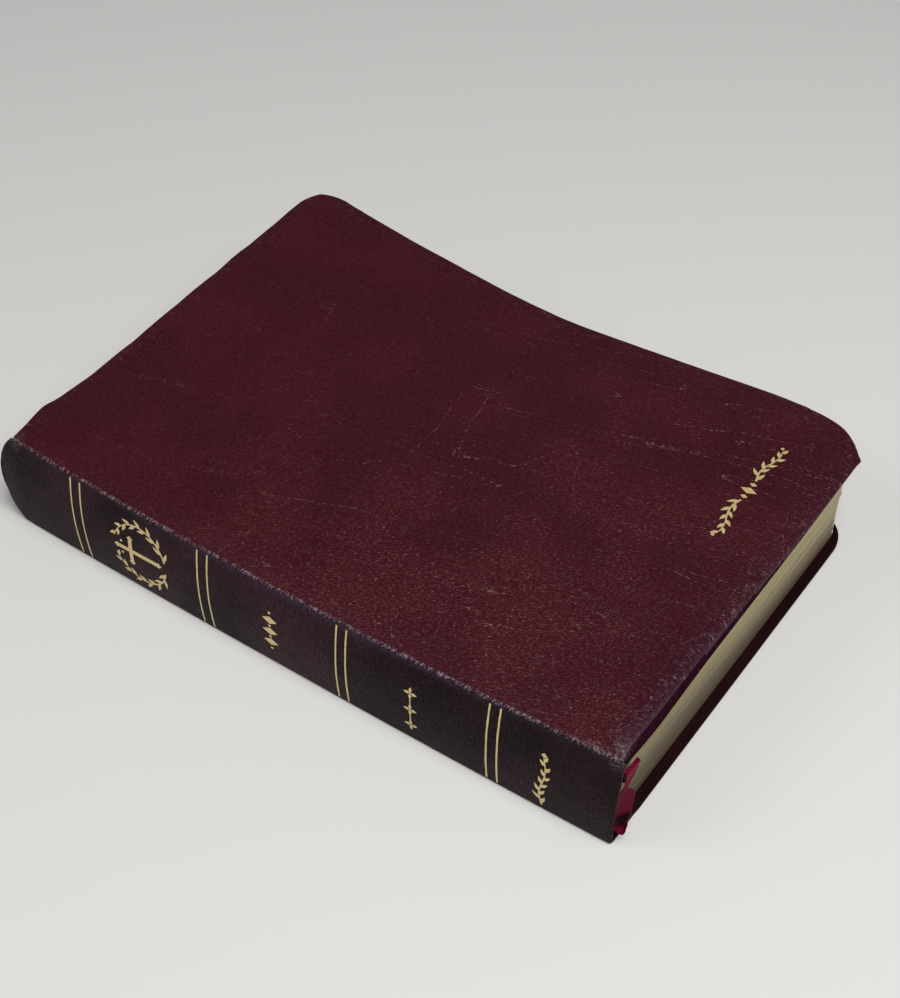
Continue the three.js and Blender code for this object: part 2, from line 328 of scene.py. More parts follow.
def leather_material(name, tone, deep, pale, roughness, shine, glint_share, depth=0.10, tail_shade=0.0):
    """Smooth leather: a fine grain; pale dashes and broken lines painted as glints where its creases catch
    the light; scuffs; painted shade and sheen at its folds and edges.
    """
    g = Graph(name)
    length = g.place(Y)
    pores = g.noise(3.0, 3)
    bent = g.warped(5.0, 0.05)
    cells = g.scaled(g.turned(g.warped(1.2, 0.5), 55), (0.7, 1.2, 0.5))
    grain = g.cells(1.15, "SMOOTH_F1", cells)
    creases = g.dashes(bent, 55, 1.05, 0.33)
    crossing = g.dashes(bent, 24, 0.95, 0.36)
    # Where the painted glints gather: thicker towards the tail and the spine, in patches.
    towards_tail = g.ramp(length, 110.0, -100.0, 0.18, 1.0)
    towards_spine = g.ramp(g.place(X), 60.0, -70.0, 0.4, 1.0)
    region = g.ramp(g.noise(0.03, 1), 0.36, 0.60, 0.45, 1.0)
    amount = g.times(towards_tail, towards_spine, region)
    # Painted glints: pale dashes where the grain's creases catch the light, with fainter ones between.
    glints = g.math("MAXIMUM", g.ramp(creases, 0.67, 0.75), g.ramp(crossing, 0.70, 0.78))
    glints = g.times(glints, g.ramp(g.noise(0.6), 0.46, 0.66, 0.08, 1.0), amount)
    faint_glints = g.times(g.ramp(creases, 0.50, 0.68), g.ramp(amount, 0.0, 1.0, 0.03, 0.10))
    # Broken pale lines: creases painted as lit, more painted glints.
    across = g.long_lines(bent, 78, 130.0, 9.0, 0.0060)
    lines = g.math("MAXIMUM", across, g.long_lines(bent, -8, 90.0, 24.0, 0.0016))
    lines = g.times(lines, g.ramp(creases, 0.42, 0.60, 0.15, 1.0))
    lines = g.times(lines, g.ramp(towards_tail, 0.35, 0.75, 0.25, 1.0))

    ridge = g.attribute("ridge")
    edge = g.attribute("edge")
    hanging = g.attribute("hanging")
    # Pale ticks across the ridge: painted highlights on the fold's puckers, which the bump raises too.
    ticks = g.stretched((0.6, 2.3, 0.6), 2, 0.6, g.turned(g.rest, 20))
    ridge_ticks = g.times(g.ramp(ticks, 0.53, 0.60), g.ramp(ridge, 0.25, 0.8))
    # Fan wrinkles on the tail edge, raised by the bump; their thin pale lines are a painted lilac sheen.
    fans = g.stretched((0.62, 0.13, 0.2), vector=g.warped(6.0, 0.09))
    fan_lines = g.times(g.contour(fans, 0.014, 0.004), g.ramp(g.noise(0.5, 3), 0.49, 0.57))
    fan_lines = g.times(fan_lines, g.times(edge, g.ramp(hanging, 0.2, 0.9, 1.0, 0.12)))
    # Pale scuffs where the leather is worn, and a painted highlight along the fore edge near the tail.
    scuff_and_glint = g.times(g.ramp(g.noise(1.7, 3, 0.7), 0.50, 0.60), g.attribute("wear_and_edge_glint"))

    color = g.between(g.noise(0.03, 3), 0.38, 0.66, deep, tone)
    color = g.over(color, grain, 0.25, 0.75, 0.55, deep)
    # Just under the ridge: a band of painted shade in dark purple, specked with a lighter painted purple
    # sheen, strongest towards the tail.
    granules = g.between(g.noise(2.4), 0.46, 0.62, (0.011, 0.006, 0.017), (0.062, 0.044, 0.084))
    ridge_shade_sheen = g.times(g.attribute("seam"), g.ramp(g.noise(0.9, 3), 0.36, 0.55, 0.45, 0.95))
    ridge_shade_sheen = g.times(ridge_shade_sheen, g.ramp(length, 100.0, -20.0, 0.25, 1.0))
    color = g.mix(ridge_shade_sheen, color, granules)
    # Painted shade: darker purple near the tail, fore and head edges.
    color = g.mix(g.times(edge, 0.5), color, (0.026, 0.0048, 0.0155))
    # Painted shade on the tail edge where it hangs down beside the pages.
    color = g.mix(g.times(hanging, 0.6), color, (0.019, 0.0032, 0.0090))
    # Lay the painted glints in the pale tint, fainter on the hanging edge.
    light = g.math("MAXIMUM", g.times(glints, glint_share), g.times(lines, 0.34 * glint_share))
    light = g.math("MAXIMUM", light, g.times(faint_glints, g.ramp(hanging, 0.0, 1.0, 1.0, 0.3)))
    color = g.mix(light, color, pale)
    color = g.over(color, length, -20.0, -105.0, tail_shade, (0.006, 0.0016, 0.003))
    # The fan wrinkles' painted sheen.
    color = g.mix(g.times(fan_lines, 0.6), color, (0.30, 0.22, 0.26))
    # The ridge's painted highlights.
    color = g.mix(g.times(ridge_ticks, 0.55), color, (0.32, 0.25, 0.27))
    # The scuffs, and the fore edge's painted highlight.
    color = g.mix(g.times(scuff_and_glint, 0.75), color, (0.25, 0.22, 0.19))

    relief = g.plus(g.times(grain, -0.9), g.times(pores, 0.4), g.times(creases, 0.9))
    relief = g.plus(relief, g.times(fans, edge, 2.0), g.times(ticks, ridge, 2.0))
    rough = g.plus(g.ramp(pores, 0.3, 0.7, -0.04, 0.06), roughness)
    return g.finish(color, rough, g.bump(relief, depth), Specular_IOR_Level=shine)


def gilt_material():
    """The pages' edges: pale satin gold, streaked along the leaves, with painted shade towards the bottom
    and the spine.
    """
    g = Graph("gilt_page_edges")
    fine = g.stretched((0.018, 0.018, 4.2), 3, 0.6)
    broad = g.stretched((0.007, 0.007, 0.42))
    specks = g.noise(1.4, 3, 0.7)
    color = g.between(fine, 0.3, 0.7, (0.33, 0.28, 0.14), (0.44, 0.385, 0.215))
    color = g.over(color, broad, 0.46, 0.66, 0.8, (0.245, 0.195, 0.09))
    color = g.over(color, specks, 0.62, 0.74, 0.3, (0.46, 0.40, 0.27))
    # Painted shade: darker towards the bottom of the block and towards the spine, broken by the streaks.
    height = g.plus(g.place(Z), g.ramp(broad, 0.3, 0.7, -2.5, 2.5))
    height = g.plus(height, g.ramp(g.place(X), -85.0, 85.0, -6.0, 4.0))
    color = g.over(color, height, 25.0, 6.0, 0.92, (0.070, 0.046, 0.022))
    normal = g.bump(g.plus(fine, g.times(specks, 0.15)), 0.07)
    return g.finish(color, g.ramp(fine, 0.3, 0.7, 0.50, 0.40), normal, Metallic=0.3)


def paper_material():
    """Thin page paper, yellowed near its edges, which take the gilding's colour at head and tail, with
    painted shade towards the bottom there.
    """
    g = Graph("thin_page_paper")
    fibres = g.noise(1.6, 5, 0.65)
    color = g.between(fibres, 0.35, 0.7, (0.70, 0.655, 0.54), (0.80, 0.765, 0.665))
    color = g.over(color, g.noise(0.03, 3), 0.4, 0.75, 0.35, (0.68, 0.61, 0.47))
    away = g.math("ABSOLUTE", g.place(Y))
    color = g.over(color, away, 108.0, 117.0, 0.4, (0.60, 0.52, 0.36))
    # The gilt colour at head and tail, with painted shade towards the bottom.
    edge = g.between(g.place(Z), 24.0, 7.0, (0.33, 0.28, 0.145), (0.085, 0.060, 0.030))
    color = g.between(away, 116.0, 116.35, color, edge)
    ripple = g.stretched((0.05, 0.02, 0.02))
    normal = g.bump(g.plus(g.times(ripple, 4.0), fibres), 0.06)
    return g.finish(color, 0.72, normal, Specular_IOR_Level=0.25)


def endpaper_material():
    """Heavier laid paper."""
    g = Graph("cream_endpaper")
    fibres = g.noise(1.3, 5, 0.7)
    laid = g.stretched((1.1, 0.02, 0.02), 1)
    color = g.between(fibres, 0.35, 0.7, (0.60, 0.54, 0.41), (0.72, 0.67, 0.54))
    color = g.over(color, laid, 0.55, 0.7, 0.3, (0.55, 0.47, 0.33))
    color = g.over(color, g.noise(0.04, 3), 0.45, 0.7, 0.35, (0.56, 0.46, 0.31))
    return g.finish(color, 0.66, g.bump(g.plus(fibres, laid), 0.05), Specular_IOR_Level=0.3)


def fibre_material(name, low, high, stretch, depth, roughness):
    """Board, card and backing paper: fibres drawn out along one way."""
    g = Graph(name)
    fibres = g.stretched(stretch, 5, 0.7)
    color = g.between(fibres, 0.3, 0.7, low, high)
    color = g.over(color, g.cells(0.9), 0.12, 0.0, 0.4, low)
    return g.finish(color, roughness, g.bump(fibres, depth), Specular_IOR_Level=0.2)


def weave_material(name, low, high, per_mm):
    """Open plain-weave gauze: crossing threads with dark gaps."""
    g = Graph(name)
    turns = per_mm * math.tau
    along = g.math("SINE", g.times(g.place(Y), turns))
    across = g.math("SINE", g.times(g.place(Z), turns))
    level = g.plus(g.math("MAXIMUM", along, across), g.times(g.noise(4.0, 3), 0.5))
    color = g.between(level, 0.0, 0.9, low, high)
    return g.finish(color, 0.85, g.bump(level, 0.08), Specular_IOR_Level=0.2)


SILK_BAND = 3.2
SILK_WINDING = 0.45


def headband_material():
    """Silk wound over a core in turn, two colours along its length."""
    g = Graph("headband_silk")
    bands = g.math("SINE", g.times(g.place(Z), math.tau / SILK_BAND))
    winding = g.math("SINE", g.times(g.place(Z), math.tau / SILK_WINDING))
    edge = g.plus(bands, g.times(g.noise(3.0, 3), 0.3))
    color = g.between(edge, 0.05, 0.25, (0.16, 0.012, 0.018), (0.05, 0.012, 0.014))
    # Painted shade in the grooves between the windings.
    color = g.over(color, winding, -0.4, -1.0, 0.5, (0.02, 0.008, 0.008))
    return g.finish(color, 0.5, g.bump(winding, 0.05), Specular_IOR_Level=0.4)


def ribbon_material():
    """Crimson satin: fine ribs along it, darkened inside the curl of its free end."""
    g = Graph("crimson_satin")
    along = g.attribute("along", "Vector")
    ribs = g.stretched((9.0, 0.25, 1.0), vector=along)
    slubs = g.stretched((1.0, 5.0, 1.0), 3, vector=along)
    color = g.between(ribs, 0.3, 0.7, (0.085, 0.001, 0.010), (0.165, 0.003, 0.026))
    color = g.over(color, slubs, 0.6, 0.75, 0.3, (0.22, 0.010, 0.05))
    color = g.mix(g.attribute("shade"), color, (0.006, 0.0006, 0.002))
    normal = g.bump(g.plus(ribs, g.times(slubs, 0.4)), 0.03)
    return g.finish(color, 0.5, normal, Specular_IOR_Level=0.04)


def gold_material():
    """Stamped foil, a little rubbed, with the leather's grain showing through."""
    g = Graph("gold_foil")
    rub = g.noise(2.2, 4, 0.7)
    grain = g.cells(0.95, "SMOOTH_F1")
    color = g.between(rub, 0.35, 0.7, (0.56, 0.42, 0.17), (0.80, 0.65, 0.34))
    color = g.over(color, rub, 0.64, 0.72, 0.7, (0.16, 0.07, 0.04))
    rough = g.ramp(rub, 0.4, 0.7, 0.3, 0.5)
    return g.finish(color, rough, g.bump(g.plus(grain, rub), 0.05), Metallic=0.35)


def thread_material():
    g = Graph("linen_thread")
    twist = g.stretched((2.0, 6.0, 2.5))
    color = g.between(twist, 0.35, 0.65, (0.55, 0.50, 0.39), (0.83, 0.79, 0.69))
    return g.finish(color, 0.7, g.bump(twist, 0.08), Specular_IOR_Level=0.25)


COVER_LEATHER = leather_material(
    "burgundy_leather", tone=(0.047, 0.0052, 0.0094), deep=(0.037, 0.0040, 0.0074),
    pale=(0.48, 0.31, 0.31), roughness=0.36, shine=0.12, glint_share=0.9,
)
# A darker, less shiny copy of the cover leather for the tail edge that hangs down; its darker tone is
# painted shade.
SHADED_FOLD_LEATHER = leather_material(
    "shaded_fold_leather", tone=(0.034, 0.0040, 0.0085), deep=(0.024, 0.0028, 0.0062),
    pale=(0.20, 0.13, 0.16), roughness=0.60, shine=0.0, glint_share=0.5,
)
# A darker, browner copy of the cover leather for the spine's side face: its tone is painted shade, with
# more towards the tail.
SHADED_SPINE_LEATHER = leather_material(
    "shaded_spine_leather", tone=(0.032, 0.0100, 0.0148), deep=(0.009, 0.0024, 0.0042),
    pale=(0.26, 0.165, 0.19), roughness=0.42, shine=0.05, glint_share=0.45, depth=0.26, tail_shade=0.6,
)
UNDER_LEATHER = leather_material(
    "shaded_back_leather", tone=(0.013, 0.0022, 0.0034), deep=(0.008, 0.0015, 0.0023),
    pale=(0.06, 0.03, 0.035), roughness=0.50, shine=0.05, glint_share=0.4,
)
GILT = gilt_material()
PAPER = paper_material()
ENDPAPER = endpaper_material()
BOARD = fibre_material("grey_board", (0.22, 0.18, 0.13), (0.36, 0.31, 0.24), (0.9, 0.25, 0.9), 0.08, 0.85)
KRAFT = fibre_material("kraft_paper", (0.30, 0.19, 0.10), (0.46, 0.32, 0.19), (2.0, 0.5, 2.0), 0.05, 0.8)
MULL = weave_material("cotton_gauze", (0.22, 0.17, 0.11), (0.78, 0.74, 0.63), 1.1)
HEADBAND = headband_material()
RIBBON = ribbon_material()
GOLD = gold_material()
THREAD = thread_material()


# ---- meshes ----

def grid_quads(index):
    corners = [index[:-1, :-1], index[1:, :-1], index[1:, 1:], index[:-1, 1:]]
    return np.stack([corner.ravel() for corner in corners], 1)


def wall_quads(upper, lower):
    """Quads between two closed loops of points."""
    return np.stack([upper, np.roll(upper, -1), np.roll(lower, -1), lower], 1)


def border(nu, nv):
    """The grid places round its border, once round."""
    low = [(i, 0) for i in range(nu)]
    far = [(nu - 1, j) for j in range(1, nv)]
    back = [(i, nv - 1) for i in range(nu - 2, -1, -1)]
    near = [(0, j) for j in range(nv - 2, 0, -1)]
    loop = np.array(low + far + back + near)
    return loop[:, 0], loop[:, 1]


def make_piece(name, points, quads, materials, kinds=None, paint=None, sharp=None):
    """A mesh from points in mm. paint maps an attribute's name to values at the points."""
    mesh = bpy.data.meshes.new(name)
    mesh.from_pydata((points * MM).tolist(), [], quads.tolist())
    for material in materials:
        mesh.materials.append(material)
    if kinds is not None:
        mesh.polygons.foreach_set("material_index", kinds)
    for key, values in {"rest": points, **(paint or {})}.items():
        kind, field = ("FLOAT_VECTOR", "vector") if values.ndim == 2 else ("FLOAT", "value")
        mesh.attributes.new(key, kind, "POINT")
        mesh.attributes[key].data.foreach_set(field, values.astype(np.float32).ravel())
    shape = bmesh.new()
    shape.from_mesh(mesh)
    bmesh.ops.recalc_face_normals(shape, faces=shape.faces)
    shape.to_mesh(mesh)
    shape.free()
    mesh.polygons.foreach_set("use_smooth", np.ones(len(mesh.polygons), bool))
    if sharp is not None:
        mesh.set_sharp_from_angle(angle=math.radians(sharp))
    return placed(name, mesh)


def slab(name, top, bottom, swell, materials, paint=None, sharp=None, even=False):
    """A closed body from two grids of one shape. swell holds, for each row of the rim between them,
    how far each border point stands out past the grids. A second material covers the rim."""
    nu, nv = top.shape[:2]
    iu, iv = border(nu, nv)
    inward = top[np.clip(iu, 1, nu - 2), np.clip(iv, 1, nv - 2)]
    edge_top = top[iu, iv]
    edge_bottom = bottom[iu, iv]
    tangent = np.roll(edge_top, -1, 0) - np.roll(edge_top, 1, 0)
    outward = unit(np.cross(tangent, edge_top - edge_bottom))
    side = np.sign(((edge_top - inward) * outward).sum(1, keepdims=True))
    outward = outward * np.where(side == 0, 1, side)
    points = [top.reshape(-1, 3), bottom.reshape(-1, 3)]
    for row, out in enumerate(swell):
        share = (row + 1) / (len(swell) + 1)
        down = share if even else (1 - math.cos(math.pi * share)) / 2
        points.append(edge_top * (1 - down) + edge_bottom * down + outward * out[:, None])
    points = np.concatenate(points)
    index = np.arange(nu * nv).reshape(nu, nv)
    rim = np.arange(2 * nu * nv, len(points)).reshape(len(swell), len(iu))
    loops = [index[iu, iv], *rim, index[iu, iv] + nu * nv]
    quads = [grid_quads(index), grid_quads(index + nu * nv)]
    quads += [wall_quads(upper, lower) for upper, lower in zip(loops[:-1], loops[1:])]
    faces = np.concatenate(quads)
    kinds = np.zeros(len(faces), int)
    if len(materials) > 1:
        kinds[2 * len(quads[0]):] = 1
    painted = {key: values(points) for key, values in (paint or {}).items()}
    return make_piece(name, points, faces, materials, kinds, painted, sharp)


def round_rim(top, bottom, rows=5, seam=False):
    """Swell for a rim rounded to half its thickness, flat along the seam side, which is u = 0."""
    iu, iv = border(*top.shape[:2])
    half = np.linalg.norm(top[iu, iv] - bottom[iu, iv], axis=1) / 2
    if seam:
        half = half * clamp01(iu / 4)
    shares = (np.arange(rows) + 1) / (rows + 1)
    return [half * math.sin(math.pi * share) for share in shares]


def surface_normals(grid):
    return unit(np.cross(np.gradient(grid, axis=0), np.gradient(grid, axis=1)))


def stand_for(node):
    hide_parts(node)


# ---- the ribbon, whose route is the one in the frame ----

RIBBON_Z = box_mm("section_10")[1][2] + 0.5
RIBBON_ROUTE = [
    (-76.5, 112.0, RIBBON_Z),
    (-76.0, 75.0, RIBBON_Z),
    (-75.4, 30.0, RIBBON_Z),
    (-74.8, -15.0, RIBBON_Z),
    (-74.2, -60.0, RIBBON_Z),
    (-73.6, -100.0, RIBBON_Z),
    (-73.4, -113.0, RIBBON_Z),
    (-73.5, -116.3, RIBBON_Z),
    (-74.4, -118.1, RIBBON_Z + 1.2),
    (-75.9, -118.9, RIBBON_Z + 3.6),
    (-77.2, -119.1, RIBBON_Z + 6.1),
    (-77.8, -119.5, RIBBON_Z + 7.7),
    (-78.0, -120.1, RIBBON_Z + 7.5),
    (-78.3, -120.4, 25.8),
    (-78.8, -120.3, 22.4),
    (-79.4, -120.0, 18.4),
    (-79.9, -119.9, 14.4),
    (-80.1, -119.9, 10.4),
    (-80.1, -120.2, 6.8),
    (-79.9, -121.0, 4.4),
    (-79.6, -122.1, 3.9),
    (-79.4, -122.8, 5.2),
]
RIBBON_WIDTH = 6.5
RIBBON_THICKNESS = 0.35
RIBBON_STEP = 0.45
RIBBON_TWIST_Z = 23.0
RIBBON_TURN = math.radians(-25)
RIBBON_PINCH = 0.60
RIBBON_PINCH_SHIFT = 2.3
RIBBON_CUP = 0.3
RIBBON_CURL_CUP = 1.2
RIBBON_OUT_Y = -120.2


def route_points(route, step):
    """A centripetal Catmull-Rom curve through the route, sampled about every `step` mm."""
    p = np.array(route)
    p = np.vstack([2 * p[0] - p[1], p, 2 * p[-1] - p[-2]])
    out = []
    for a, b, c, d in zip(p[:-3], p[1:-2], p[2:-1], p[3:]):
        ta = 0.0
        tb = ta + math.sqrt(np.linalg.norm(b - a))
        tc = tb + math.sqrt(np.linalg.norm(c - b))
        td = tc + math.sqrt(np.linalg.norm(d - c))
        for t in np.linspace(tb, tc, max(2, int(np.linalg.norm(c - b) / step)), endpoint=False):
            ab = a + (b - a) * (t - ta) / (tb - ta)
            bc = b + (c - b) * (t - tb) / (tc - tb)
            cd = c + (d - c) * (t - tc) / (td - tc)
            abc = ab + (bc - ab) * (t - ta) / (tc - ta)
            bcd = bc + (cd - bc) * (t - tb) / (td - tb)
            out.append(abc + (bcd - abc) * (t - tb) / (tc - tb))
    out.append(p[-2])
    return np.array(out)


def ribbon_sides(line, falling, from_end, places):
    """The ribbon's two faces: cupped, turned and pinched at the twist, hollow where its end curls."""
    height = line[:, 2]
    ahead = unit(np.gradient(line, axis=0))
    flat = unit(np.cross(np.array([1.0, 0, 0]), ahead))
    wide = np.cross(ahead, flat)
    turn = (RIBBON_TURN * (smooth((RIBBON_TWIST_Z + 1.5 - height) / 5.0) * falling))[:, None]
    across = wide * np.cos(turn) + flat * np.sin(turn)
    facing = (flat * np.cos(turn) - wide * np.sin(turn))[:, None, :]
    pinch = bell((height - RIBBON_TWIST_Z) / 2.6) * falling
    narrow = 1 - RIBBON_PINCH * pinch - 0.25 * smooth((2.0 - from_end) / 2.0)
    half = (RIBBON_WIDTH / 2 * narrow)[:, None, None]
    depth = RIBBON_CUP - RIBBON_CURL_CUP * smooth((11 - from_end) / 5) * smooth(from_end / 3)
    cup = (depth * falling)[:, None, None] * (1 - places[None, :, None] ** 2)
    middle = line[:, None, :] + across[:, None, :] * half * places[None, :, None]
    middle = middle + facing * cup
    middle = middle - (across * (RIBBON_PINCH_SHIFT * pinch)[:, None])[:, None, :]
    middle[..., 1] += 0.6 * np.maximum(0, RIBBON_OUT_Y - line[:, 1])[:, None]
    top = middle + facing * RIBBON_THICKNESS / 2
    bottom = middle - facing * RIBBON_THICKNESS / 2
    loop_lift = 1.9 * bell((height - 29.5) / 5) * (line[:, 1] < -117)
    lift = loop_lift + 2.2 * smooth((13 - height) / 8)
    top[..., 2] += lift[:, None]
    bottom[..., 2] += lift[:, None]
    return top, bottom


def make_ribbon():
    line = route_points(RIBBON_ROUTE, RIBBON_STEP)
    lengths = np.concatenate([[0], np.cumsum(np.linalg.norm(np.diff(line, axis=0), axis=1))])
    falling = smooth((np.arange(len(line)) - np.argmax(line[:, 2])) / 8)
    places = np.linspace(-1, 1, 13)
    top, bottom = ribbon_sides(line, falling, lengths[-1] - lengths, places)
    grid = np.zeros(top.shape)
    grid[..., 0] = places[None, :] * RIBBON_WIDTH / 2
    grid[..., 1] = lengths[:, None]
    iu, iv = border(*top.shape[:2])
    rim = grid[iu, iv]
    along = np.concatenate([grid.reshape(-1, 3), grid.reshape(-1, 3), rim, rim])
    left = lengths[-1] - along[:, 1]
    rounded = 1 - 0.4 * (along[:, 0] / RIBBON_WIDTH * 2) ** 4
    shade = smooth((left - 3.0) / 1.5) * smooth((11.5 - left) / 3.5) * rounded
    shade = np.maximum(shade, 0.35 * smooth((24 - left) / 6))
    paint = {"along": lambda p: along, "shade": lambda p: shade}
    piece = slab("ribbon", top, bottom, round_rim(top, bottom, 2), [RIBBON], paint, sharp=50)
    stand_for("ribbon_marker")
    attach(piece, "rear_half")


make_ribbon()


# ---- the leather's shape ----

def along_length(y):
    """1 at mid length, falling to 0 at head and tail."""
    return 1 - clamp01(np.abs(y) / HALF_LENGTH) ** 2.2


def ridge_x(y):
    return SPINE_X + 0.3 - SPINE_BOW * along_length(y)


def ridge_z(y):
    return SPINE_TOP - 0.3 - RIDGE_SAG * along_length(y)


def face_x(y, z):
    """The spine's outer face."""
    low = RIDGE_RADIUS
    high = ridge_z(y) - RIDGE_RADIUS
    k = clamp01((z - low) / (high - low)) * 2 - 1
    bulge = SPINE_ROUND * (1 - k * k)
    slack = 0.16 * noise2(y, z * 0.6, 16, 11) + 0.05 * noise2(y, z, 4.5, 12)
    return ridge_x(y) - bulge + slack * (1 - k ** 4)


def panel_rise(x, y):
    """How far the front cover's outer face lies above the top of the spine."""
    pressed = DIP_DEPTH * smooth((x + 10) / 85) * bell((y - 2) / 42)
    lift = TAIL_LIFT * smooth(x / 80) * bell((y + 88) / 25)
    along = clamp01((x - CURL_START[0]) / (PAGE_FORE_X - CURL_START[0]))
    up = clamp01((y - CURL_START[1]) / (PAGE_HALF_LENGTH - CURL_START[1]))
    return PUFF - pressed + lift + CURL * along * up ** CURL_POWER


def leather_waves(x, y):
    broad = 0.20 * noise2(x, y, 36, 1) + 0.10 * noise2(x, y, 15, 2)
    small = 0.05 * noise2(x, y, 6, 3) + 0.025 * noise2(x, y, 2.6, 4)
    flutes = 0.3 * noise2(x, y * 0.2, 11, 5) * bell((HALF_LENGTH - y) / 9)
    return broad + small + flutes


def front_top(x, y):
    """The front cover's outer face, flange left out."""
    start = ridge_x(y) + RIDGE_RADIUS
    t = clamp01((x - start) / (JOINT_END_X - start))
    ridge = ridge_z(y)
    panel = SPINE_TOP + panel_rise(x, y)
    body = ridge + (panel - ridge) * (1 - (1 - t) ** 2.2)
    hump = 1.6 * bell((x + 69) / 6) * smooth((y - 100) / 19)
    return body + hump + leather_waves(x, y) * smooth(t * 2)


def back_under(x, y):
    """The back cover's outer face, which lies on the table."""
    inset = edge_distance(x, y, FORE_X, HALF_LENGTH)
    return 0.12 + 0.1 * noise2(x, y, 30, 21) + 0.25 * bell(inset / 3)


def flange_drop(x):
    """How far the tail edge of the front cover is bent down: most beside the spine."""
    along = clamp01((70 - x) / 141) ** 1.15
    drop = 0.8 * smooth((72 - x) / 8) + 7.8 * along
    return drop * smooth((x - SPINE_X - 0.5) / 7)


def round_reach(x, half, fore_x, radius):
    """How far from mid length a cover's or page's edge is at x, with a rounded fore corner."""
    over = clamp01((x - (fore_x + EDGE_SPARE - radius)) / radius)
    return half - radius + radius * np.sqrt(np.maximum(0, 1 - over * over))


def slanted_reach(x, half, fore_x):
    """The same for the front cover's tail, whose corner is slanted where the bent edge runs out."""
    over = clamp01((x - (fore_x + EDGE_SPARE - SLANT_RUN)) / SLANT_RUN)
    return half - SLANT_DROP * over - SLANT_ROUND * (1 - np.sqrt(np.maximum(0, 1 - over ** 8)))


def front_reach(x, y, half_tail, half_head, fore_x, head_radius):
    tail = slanted_reach(x, half_tail, fore_x)
    return np.where(y < 0, tail, round_reach(x, half_head, fore_x, head_radius))


def fitted(y, half, reach):
    """Y moved in so that a straight-ended grid of half length `half` ends at reach."""
    knee = half - CORNER_KNEE
    beyond = np.maximum(0, np.abs(y) - knee) / CORNER_KNEE
    return np.sign(y) * (np.minimum(np.abs(y), knee) + beyond * (reach - knee))


def fore_columns(start, fore_x, radius, step):
    """X from start to the fore edge, closing up round the corners."""
    flat = spacing(start, fore_x - radius, step)
    angles = np.linspace(0, math.pi / 2, int(radius * 1.6 / step))
    return joined(flat, fore_x - radius + radius * np.sin(angles))


def edge_distance(x, y, fore_x, half):
    """About how far a place on a cover is in from its tail, head or fore edge."""
    return np.minimum(np.minimum(half + y, half - y), fore_x - x)


def cover_thickness(x, y):
    inset = edge_distance(x, y, FORE_X, HALF_LENGTH)
    full = RIM_THICKNESS + (COVER_THICKNESS - RIM_THICKNESS) * smooth(inset / 4)
    window = WINDOW_DEPTH * smooth((inset - TURN_IN) / 0.8) * smooth((x - PANEL_X - TURN_IN) / 0.8)
    return LEATHER + (full - window - LEATHER) * smooth((x - PANEL_X) / 3)


def fold_at_ridge(y, turn):
    """X and z of the fold between the spine and the front cover, at a turn of its round."""
    x = ridge_x(y) + RIDGE_RADIUS + RIDGE_RADIUS * math.cos(turn)
    return x, ridge_z(y) - RIDGE_RADIUS + RIDGE_RADIUS * math.sin(turn)


def fold_at_foot(y, turn):
    """The same between the spine and the back cover."""
    x = ridge_x(y) + RIDGE_RADIUS + RIDGE_RADIUS * math.cos(turn)
    return x, back_under(x, y) + RIDGE_RADIUS + RIDGE_RADIUS * math.sin(turn)


def cover_plan(rows, turns, joint_steps, fore_x, corner, step):
    """X and y of a cover's leather: round the fold, over the joint and along the panel."""
    start = ridge_x(rows) + RIDGE_RADIUS
    fold = [start + RIDGE_RADIUS * math.cos(turn) for turn in turns]
    joint = [start + (JOINT_END_X - start) * share for share in spacing(0, 1, 1 / joint_steps)[1:]]
    panel = [np.full(len(rows), x) for x in fore_columns(JOINT_END_X, fore_x, corner, step)[1:]]
    x = np.array(fold + joint + panel)
    return x, np.tile(rows, (len(x), 1))


FRONT_FOLD = np.radians([135, 124, 112, 101, 90])
BACK_FOLD = np.radians([225, 236, 248, 259, 270])
FRONT_STEP = 1.05
BACK_STEP = 1.5


def front_grid():
    """The front leather's outer face, and its plan before the tail edge is bent down."""
    rows = joined(
        spacing(FLANGE_END_Y, FLANGE_START_Y, 0.45),
        spacing(FLANGE_START_Y, HEAD_EDGE_Y - 3, FRONT_STEP),
        spacing(HEAD_EDGE_Y - 3, HEAD_EDGE_Y, 0.6),
    )
    x, y = cover_plan(rows, FRONT_FOLD, 24, FORE_X, SLANT_RUN, FRONT_STEP)
    reach = front_reach(x, y, -FLANGE_END_Y, HEAD_EDGE_Y, FORE_X, FRONT_HEAD_CORNER)
    y = fitted(y, np.where(y < 0, -FLANGE_END_Y, HEAD_EDGE_Y), reach)
    z = front_top(x, y)
    for i, turn in enumerate(FRONT_FOLD):
        z[i] = fold_at_ridge(y[i], turn)[1]
    edge = -slanted_reach(x, -FLANGE_END_Y, FORE_X)
    run = FLANGE_START_Y - FLANGE_END_Y
    t = clamp01(1 - (y - edge) / run)
    overhang = run * (1 - 0.22 * smooth((50 - x) / 90) - 0.3 * smooth((-60 - x) / 22))
    turned = np.where(t > 0, edge + run - overhang * np.sin(t * math.pi / 2), y)
    z = z - flange_drop(x) * (1 - np.cos(t * math.pi / 2))
    return np.stack([x, turned, z], 2), x, y


# ---- where the leather is scuffed, and where shade and highlights are painted on it ----

FOLD_FROM = 0.35


def near_ridge(points):
    """1 on the spine's top ridge, fading over about a millimetre."""
    x, y, z = points.T
    dx = x - (ridge_x(y) + 0.5)
    dz = z - (ridge_z(y) - 0.2)
    return bell(np.hypot(dx, dz) / 0.85)


def near_seam(points):
    """1 just under the ridge, on the spine's side, where a dark purple band of painted shade and purple
    sheen lies.
    """
    x, y, z = points.T
    under = ridge_z(y) - 1.3 - z
    return bell(under / 1.1) * smooth((ridge_x(y) + 2 - x) / 1.5)


